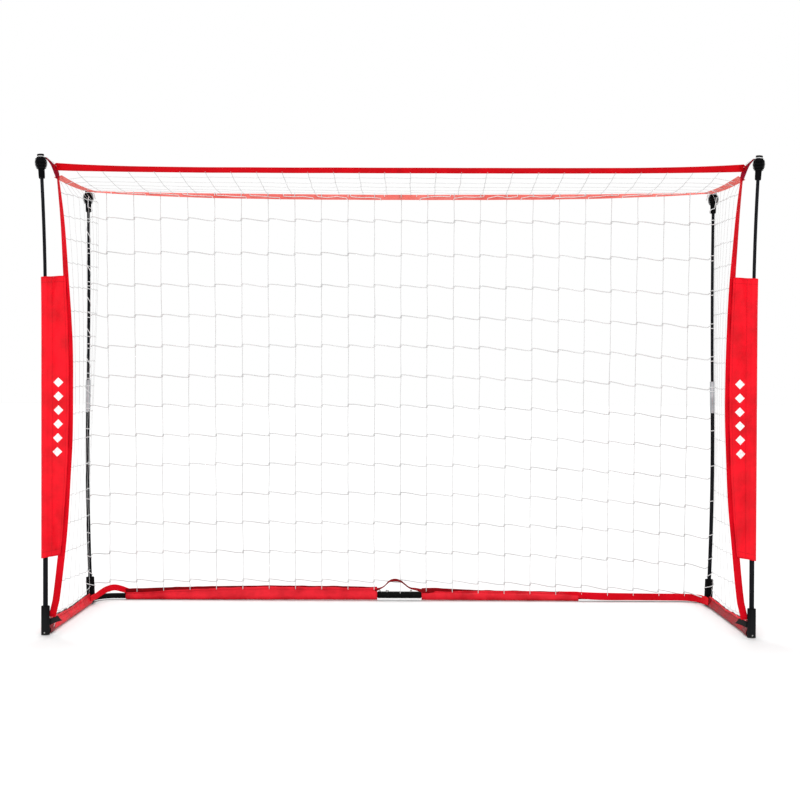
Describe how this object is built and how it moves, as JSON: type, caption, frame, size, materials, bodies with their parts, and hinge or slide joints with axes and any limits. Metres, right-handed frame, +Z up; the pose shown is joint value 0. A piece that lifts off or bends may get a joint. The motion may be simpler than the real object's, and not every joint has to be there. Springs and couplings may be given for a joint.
{
  "type": "portable sports goal",
  "caption": "Free-standing portable goal: U-shaped tube base, four upright flexible poles in sockets, and a knotted net hung on webbing with fabric wraps.",
  "frame": {"origin": "on the ground, under the middle of the goal's box", "axes": "+Z up, +X to the right of a player who faces the mouth, the mouth faces -Y"},
  "size_m": [1.8854, 0.6361, 1.2452],
  "materials": {
    "black_steel": "satin powder coat",
    "black_plastic": "moulded, finely textured",
    "pole_glassfibre": "smooth wound glass-fibre rod",
    "bare_steel": "drawn, slightly dull",
    "red_polyester": "plain-weave coated polyester",
    "crimson_webbing": "woven strap",
    "pale_red_webbing": "woven strap, sun-lit and thin",
    "white_cord": "knotted polyester net twine",
    "black_fabric": "woven patch"
  },
  "bodies": {
    "frame": {"back_top_strap": "pale_red_webbing", "base_tube_left": "black_steel", "base_tube_right": "black_steel", "coupler_rivet": "bare_steel", "crossbar_strap": "crimson_webbing", "foot_plug_left": "black_plastic", "foot_plug_right": "black_plastic", "front_socket_left": "black_plastic", "front_socket_pins": "bare_steel", "front_socket_right": "black_plastic", "net_back": "white_cord", "net_gusset_left": "black_fabric", "net_gusset_right": "black_fabric", "net_roof": "white_cord", "net_side_left": "white_cord", "net_side_right": "white_cord", "pole_flap_left": "red_polyester", "pole_flap_right": "red_polyester", "rear_base_flap_left": "red_polyester", "rear_base_flap_right": "red_polyester", "rear_coupler": "black_steel", "rear_hem": "pale_red_webbing", "rear_socket_left": "black_plastic", "rear_socket_right": "black_plastic", "rear_socket_rivets": "bare_steel", "side_base_flap_left": "red_polyester", "side_base_flap_right": "red_polyester", "side_hem_left": "pale_red_webbing", "side_hem_right": "pale_red_webbing", "side_top_strap_left": "pale_red_webbing", "side_top_strap_right": "pale_red_webbing", "side_webbing_left": "crimson_webbing", "side_webbing_right": "crimson_webbing", "snap_spring_left": "bare_steel", "snap_spring_right": "bare_steel"},
    "button_left": {"snap_button_left": "bare_steel"},
    "front_pole_left": {"front_pole_lower_left": "pole_glassfibre", "front_ferrule_left": "bare_steel", "front_pole_upper_left": "pole_glassfibre", "front_cap_left": "black_plastic", "front_loop_left": "crimson_webbing"},
    "rear_pole_left": {"rear_pole_lower_left": "pole_glassfibre", "rear_ferrule_left": "bare_steel", "rear_pole_upper_left": "pole_glassfibre", "rear_cap_left": "black_plastic", "rear_loop_left": "crimson_webbing"},
    "button_right": {"snap_button_right": "bare_steel"},
    "front_pole_right": {"front_pole_lower_right": "pole_glassfibre", "front_ferrule_right": "bare_steel", "front_pole_upper_right": "pole_glassfibre", "front_cap_right": "black_plastic", "front_loop_right": "crimson_webbing"},
    "rear_pole_right": {"rear_pole_lower_right": "pole_glassfibre", "rear_ferrule_right": "bare_steel", "rear_pole_upper_right": "pole_glassfibre", "rear_cap_right": "black_plastic", "rear_loop_right": "crimson_webbing"}
  },
  "joints": [
    {"name": "button_left_press", "type": "slide", "parent": "frame", "child": "button_left", "axis": [0, 0, -1], "range_m": [0, 0.0076], "stiffness_N_per_m": 600, "springref_m": -0.002, "deforming": ["snap_spring_left"]},
    {"name": "front_pole_left_lift", "type": "slide", "parent": "frame", "child": "front_pole_left", "axis": [0, 0, 1], "range_m": [0, 0.066]},
    {"name": "rear_pole_left_lift", "type": "slide", "parent": "frame", "child": "rear_pole_left", "axis": [-0.04, 0, 0.9992], "range_m": [0, 0.058]},
    {"name": "button_right_press", "type": "slide", "parent": "frame", "child": "button_right", "axis": [0, 0, -1], "range_m": [0, 0.0076], "stiffness_N_per_m": 600, "springref_m": -0.002, "deforming": ["snap_spring_right"]},
    {"name": "front_pole_right_lift", "type": "slide", "parent": "frame", "child": "front_pole_right", "axis": [0, 0, 1], "range_m": [0, 0.066]},
    {"name": "rear_pole_right_lift", "type": "slide", "parent": "frame", "child": "rear_pole_right", "axis": [0.04, 0, 0.9992], "range_m": [0, 0.058]}
  ]
}
